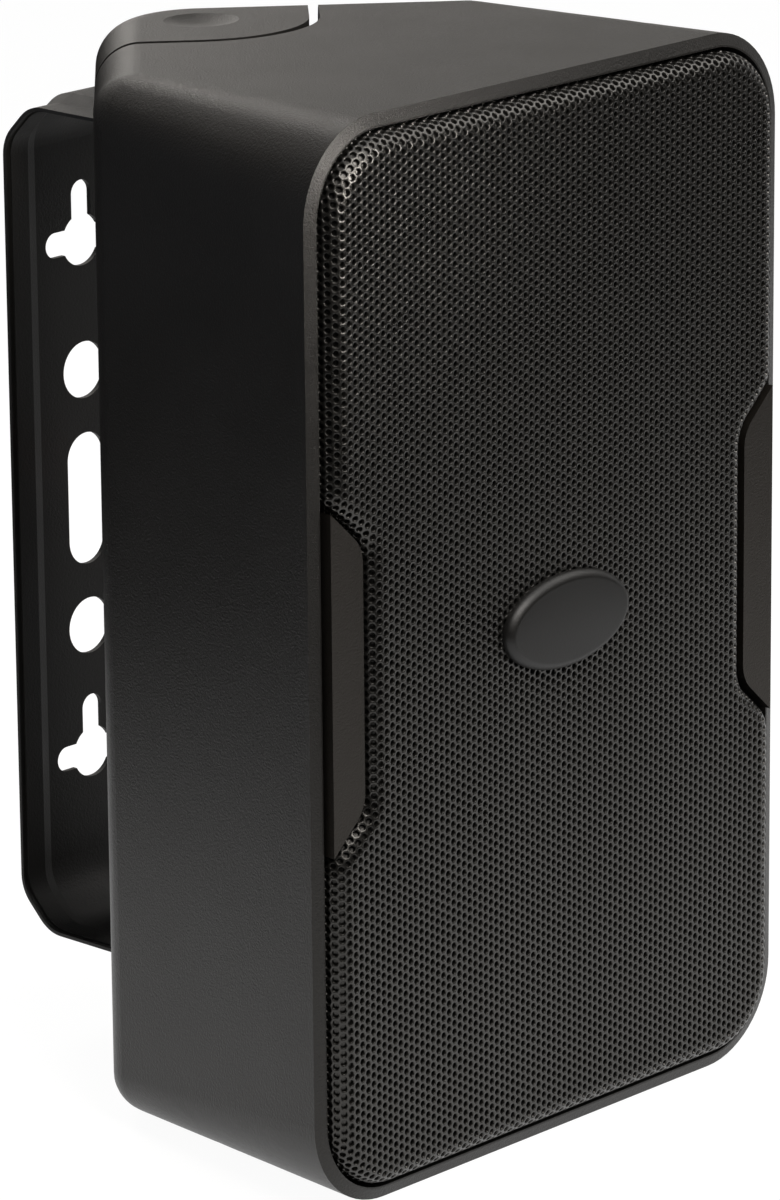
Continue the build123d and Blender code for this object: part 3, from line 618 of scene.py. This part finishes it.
class SPEAKER_OT_round_badge(Operator):
    """Model the oval plate with its rounded edge and two pins"""

    bl_idname = "speaker.round_badge"
    bl_label = "Round the Badge"

    def execute(self, context):
        sizes = context.scene.badge_sizes
        low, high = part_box("badge")
        middle = (low.z + high.z) / 2
        facing = (math.pi / 2, 0, 0)
        deselect()
        bpy.ops.mesh.primitive_cylinder_add(
            vertices=BADGE_SIDES, radius=1.0, depth=sizes.plate, rotation=facing,
            location=(0, low.y + sizes.plate / 2, middle),
        )
        badge = context.object
        badge.name = "badge_plate"
        badge.scale = ((high.x - low.x) / 2, (high.z - low.z) / 2, 1)
        bpy.ops.object.transform_apply(location=True, rotation=True, scale=True)
        bpy.ops.object.mode_set(mode="EDIT")
        bpy.ops.mesh.select_all(action="DESELECT")
        for share, segments, profile in BADGE_BEVELS:
            mesh = bmesh.from_edit_mesh(badge.data)
            mesh.select_mode = {"EDGE"}
            for edge in mesh.edges:
                edge.select = all(v.co.y < low.y + SAME_PLACE for v in edge.verts)
            bmesh.update_edit_mesh(badge.data)
            bpy.ops.mesh.bevel(offset=sizes.edge * share, segments=segments, profile=profile, affect="EDGES")
        back = low.y + sizes.plate * PIN_START
        for x in (-sizes.pin_place, sizes.pin_place):
            bpy.ops.mesh.primitive_cylinder_add(
                vertices=PIN_SIDES, radius=sizes.pin, depth=high.y - back, rotation=facing,
                location=(x, (high.y + back) / 2, middle),
            )
        bpy.ops.object.mode_set(mode="OBJECT")
        bpy.ops.object.shade_smooth_by_angle(angle=math.radians(BADGE_SMOOTH))
        tint = context.scene.speaker_colours.badge
        badge.data.materials.append(
            grained("badge_plastic", tint, 0.42, 0.5 * MM, 0.03 * MM, Specular_IOR_Level=0.42)
        )
        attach(badge, "speaker")
        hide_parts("badge")
        return {"FINISHED"}


def knurled_clamp(node, name, material, sizes):
    """A ribbed screw-down clamp around its stud, in the place of a CAD clamp."""
    low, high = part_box(node)
    radius = (high.x - low.x) / 2
    across = RIB_SIDES * sizes.ribs
    profile = [
        (radius - sizes.chamfer, low.y), (radius, low.y + sizes.chamfer), (radius, high.y - sizes.chamfer),
        (radius - sizes.chamfer, high.y), (sizes.stud, high.y), (sizes.stud, low.y),
    ]
    deselect()
    add_ring(across, *profile[0])
    clamp = bpy.context.object
    clamp.name = name
    bpy.ops.object.transform_apply(location=True, rotation=True, scale=True)
    bpy.ops.object.mode_set(mode="EDIT")
    for ring in profile[1:]:
        add_ring(across, *ring)
    bridge_rings(clamp, [across] * len(profile), closed=True)
    mesh = bmesh.from_edit_mesh(clamp.data)
    for vert in mesh.verts:
        turn = math.atan2(vert.co.z, vert.co.x) / math.tau * sizes.ribs
        outside = math.hypot(vert.co.x, vert.co.z) > radius - SAME_PLACE
        vert.select = outside and turn % 1 > RIB_SHARE
    mesh.select_mode = {"VERT"}
    bmesh.update_edit_mesh(clamp.data)
    share = 1 - sizes.chamfer / radius
    bpy.ops.transform.resize(value=(share, 1, share), center_override=(0, 0, 0))
    bpy.ops.mesh.select_all(action="SELECT")
    bpy.ops.transform.translate(value=(0, 0, (low.z + high.z) / 2))
    bpy.ops.mesh.normals_make_consistent(inside=False)
    bpy.ops.object.mode_set(mode="OBJECT")
    bpy.ops.object.shade_smooth_by_angle(angle=math.radians(CLAMP_SMOOTH))
    clamp.data.materials.append(material)
    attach(clamp, "speaker")
    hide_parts(node)


class SPEAKER_OT_knurl_clamps(Operator):
    """Model the two ribbed clamps of the terminals"""

    bl_idname = "speaker.knurl_clamps"
    bl_label = "Knurl the Clamps"

    def execute(self, context):
        sizes = context.scene.clamp_sizes
        red = grained("clamp_red", (0.45, 0.015, 0.012), 0.38, 0.5 * MM, 0.02 * MM, 0.15)
        black = grained("clamp_black", (0.016, 0.016, 0.016), 0.38, 0.5 * MM, 0.02 * MM)
        knurled_clamp("terminal_clamp_red", "clamp_upper", red, sizes)
        knurled_clamp("terminal_clamp_black", "clamp_lower", black, sizes)
        return {"FINISHED"}


class SPEAKER_OT_finish_housing(Operator):
    """Finish the moulded housing, its swivel caps and the baffle"""

    bl_idname = "speaker.finish_housing"
    bl_label = "Finish the Housing"

    def execute(self, context):
        tints = context.scene.speaker_colours
        grain, depth = 0.5 * MM, 0.13 * MM
        dress(grained("housing_plastic", tints.plastic, 0.4, grain, depth, **HOUSING_SHEEN), "enclosure")
        cap = grained("cap_plastic", tints.plastic, 0.38, grain, depth, **HOUSING_SHEEN)
        dress(cap, "pivot_cap_top", "pivot_cap_bottom")
        dress(grained("baffle_plastic", tints.baffle, 0.46, grain, 0.1 * MM, **BAFFLE_SHEEN), "baffle")
        return {"FINISHED"}


class SPEAKER_OT_finish_bracket(Operator):
    """Paint the pressed steel swivel bracket"""

    bl_idname = "speaker.finish_bracket"
    bl_label = "Finish the Bracket"

    def execute(self, context):
        tint = context.scene.speaker_colours.bracket
        dress(grained("bracket_paint", tint, 0.6, 0.6 * MM, 0.1 * MM, Specular_IOR_Level=0.4), "bracket")
        return {"FINISHED"}


class SPEAKER_OT_finish_drivers(Operator):
    """Finish the woofer, the horn tweeter and the gaskets"""

    bl_idname = "speaker.finish_drivers"
    bl_label = "Finish the Drivers"

    def execute(self, context):
        dress_rows(DRIVER_FINISHES)
        return {"FINISHED"}


class SPEAKER_OT_finish_fittings(Operator):
    """Finish the screws, swivel fittings, terminals, crossover, wires and wadding"""

    bl_idname = "speaker.finish_fittings"
    bl_label = "Finish the Fittings"

    def execute(self, context):
        dress_rows(FITTING_FINISHES)
        return {"FINISHED"}


def softbox(name, energy, size, place, target, tint, spread):
    """An area lamp facing a point; a spread under 180 degrees narrows its beam as a grid does."""
    deselect()
    bpy.ops.object.light_add(type="AREA", location=place)
    lamp = bpy.context.object
    lamp.name = name
    lamp.data.shape = "RECTANGLE"
    lamp.data.size, lamp.data.size_y = size
    lamp.data.energy = energy
    lamp.data.color = tint
    lamp.data.spread = math.radians(spread)
    lamp.rotation_mode = "QUATERNION"
    lamp.rotation_quaternion = (Vector(target) - lamp.location).to_track_quat("-Z", "Y")


def seen_rays(maker):
    """1 where the camera sees a surface directly, in a reflection or through glass."""
    kinds = ("Is Camera Ray", "Is Glossy Ray", "Is Transmission Ray")
    camera, glossy, clear = (maker.node("ShaderNodeLightPath", output=kind) for kind in kinds)
    return camera + glossy + clear


def set_world(scene, ambient):
    """A white surround that lights the part no more than an even studio does."""
    scene.world = bpy.data.worlds.new("studio")
    scene.world.use_nodes = True
    room = Nodes(scene.world.node_tree)
    even = room.node("ShaderNodeBackground", {}, {"Color": WHITE, "Strength": ambient})
    bright = room.node("ShaderNodeBackground", {}, {"Color": WHITE, "Strength": 1.0})
    mixed = room.node("ShaderNodeMixShader", {}, {0: seen_rays(room), 1: even, 2: bright})
    room.tree.links.new(mixed.socket, room.tree.nodes["World Output"].inputs["Surface"])


def lay_floor(look):
    """A pale paper floor that glows where it is seen."""
    deselect()
    bpy.ops.mesh.primitive_plane_add(size=FLOOR_SIDE, location=(0, 0, 0))
    floor = bpy.context.object
    floor.name = "studio_floor"
    pale = Finish("floor_paper", Roughness=0.9)
    drift = pale.noise(FLOOR_DRIFT)
    pale.feed("Base Color", pale.between(drift, shade(look.floor, FLOOR_DARKER), look.floor))
    glow = pale.node("ShaderNodeEmission", {}, {"Color": WHITE, "Strength": look.glow})
    matt = Value(pale, pale.shader.outputs[0])
    seen = seen_rays(pale) * FLOOR_GLOW_SHARE
    mixed = pale.node("ShaderNodeMixShader", {}, {0: seen, 1: matt, 2: glow})
    pale.tree.links.new(mixed.socket, pale.tree.nodes["Material Output"].inputs["Surface"])
    floor.data.materials.append(pale.material)


def dark_drape(name, radius, height, start, end, middle):
    """A dark curtain that only reflections see, as a photographer flags the light off a side."""
    deselect()
    bpy.ops.mesh.primitive_cylinder_add(
        vertices=DRAPE_SIDES, radius=radius, depth=height, end_fill_type="NOTHING"
    )
    drape = bpy.context.object
    drape.name = name
    bpy.ops.object.mode_set(mode="EDIT")
    mesh = bmesh.from_edit_mesh(drape.data)
    for face in mesh.faces:
        spot = face.calc_center_median()
        face.select = not start < math.degrees(math.atan2(spot.y, spot.x)) % 360 < end
    bmesh.update_edit_mesh(drape.data)
    bpy.ops.mesh.delete(type="FACE")
    bpy.ops.mesh.select_all(action="SELECT")
    bpy.ops.transform.translate(value=(*middle, height / 2 + DRAPE_LIFT))
    bpy.ops.object.mode_set(mode="OBJECT")
    dark = Finish("drape_black", Roughness=1.0, Specular_IOR_Level=0.0)
    # Painted shade: the smooth drape's colour turns darker and lighter in lumps, as the shade of folds would
    fold_shade = dark.noise(DRAPE_FOLD_SHADE_SIZE)
    dark.feed("Base Color", dark.between(fold_shade, (0.008, 0.008, 0.008), (0.012, 0.012, 0.012)))
    drape.data.materials.append(dark.material)
    for ray in ("camera", "diffuse", "shadow", "transmission"):
        setattr(drape, "visible_" + ray, False)


def set_camera(scene):
    """The camera that was fitted to the photo."""
    deselect()
    bpy.ops.object.camera_add()
    camera = bpy.context.object
    camera.name = "photo_camera"
    turn = Matrix((CAMERA_RIGHT, -CAMERA_DOWN, -CAMERA_AHEAD)).transposed()
    camera.rotation_mode = "QUATERNION"
    camera.rotation_quaternion = turn.to_quaternion()
    camera.location = [place + shift for place, shift in zip(CAMERA_PLACE, FRAME_SHIFT)]
    camera.data.sensor_width = SENSOR
    camera.data.lens = FOCAL_PIXELS * SENSOR / PHOTO_HEIGHT
    camera.data.clip_start = CLIP_NEAR
    camera.data.clip_end = CLIP_FAR
    scene.camera = camera


class SPEAKER_OT_set_stage(Operator):
    """Set up the pale floor, the drapes, the softboxes and the camera"""

    bl_idname = "speaker.set_stage"
    bl_label = "Set the Stage"

    def execute(self, context):
        look = context.scene.stage_look
        lay_floor(look)
        set_world(context.scene, look.ambient)
        for drape in DRAPES:
            dark_drape(*drape)
        for name, setting, size, place, target, tint, spread in SOFTBOXES:
            softbox(name, getattr(look, setting), size, place, target, tint or look.lamp, spread)
        set_camera(context.scene)
        context.scene.view_settings.view_transform = "Standard"
        return {"FINISHED"}


class SPEAKER_PT_panel(Panel):
    """The speaker's tools in the sidebar"""

    bl_label = "Patio Speaker"
    bl_space_type = "VIEW_3D"
    bl_region_type = "UI"
    bl_category = "Speaker"

    def draw(self, context):
        scene = context.scene
        for group in (getattr(scene, name) for name in GROUPS):
            box = self.layout.box()
            for name in group.__annotations__:
                box.prop(group, name)
        for operator in OPERATORS:
            self.layout.operator(operator.bl_idname)


GROUPS = {
    "grille_sizes": GrilleSizes,
    "badge_sizes": BadgeSizes,
    "clamp_sizes": ClampSizes,
    "speaker_colours": SpeakerColours,
    "stage_look": StageLook,
}
OPERATORS = (
    SPEAKER_OT_finish_housing,
    SPEAKER_OT_finish_bracket,
    SPEAKER_OT_finish_drivers,
    SPEAKER_OT_finish_fittings,
    SPEAKER_OT_punch_grille,
    SPEAKER_OT_round_badge,
    SPEAKER_OT_knurl_clamps,
    SPEAKER_OT_set_stage,
)


def register():
    for name, group in GROUPS.items():
        bpy.utils.register_class(group)
        setattr(bpy.types.Scene, name, PointerProperty(type=group))
    for operator in OPERATORS:
        bpy.utils.register_class(operator)
    bpy.utils.register_class(SPEAKER_PT_panel)


def unregister():
    bpy.utils.unregister_class(SPEAKER_PT_panel)
    for operator in reversed(OPERATORS):
        bpy.utils.unregister_class(operator)
    for name, group in GROUPS.items():
        delattr(bpy.types.Scene, name)
        bpy.utils.unregister_class(group)


def main():
    register()
    bpy.ops.speaker.finish_housing()
    bpy.ops.speaker.finish_bracket()
    bpy.ops.speaker.finish_drivers()
    bpy.ops.speaker.finish_fittings()
    bpy.ops.speaker.punch_grille()
    bpy.ops.speaker.round_badge()
    bpy.ops.speaker.knurl_clamps()
    bpy.ops.speaker.set_stage()


if __name__ == "__main__":
    main()
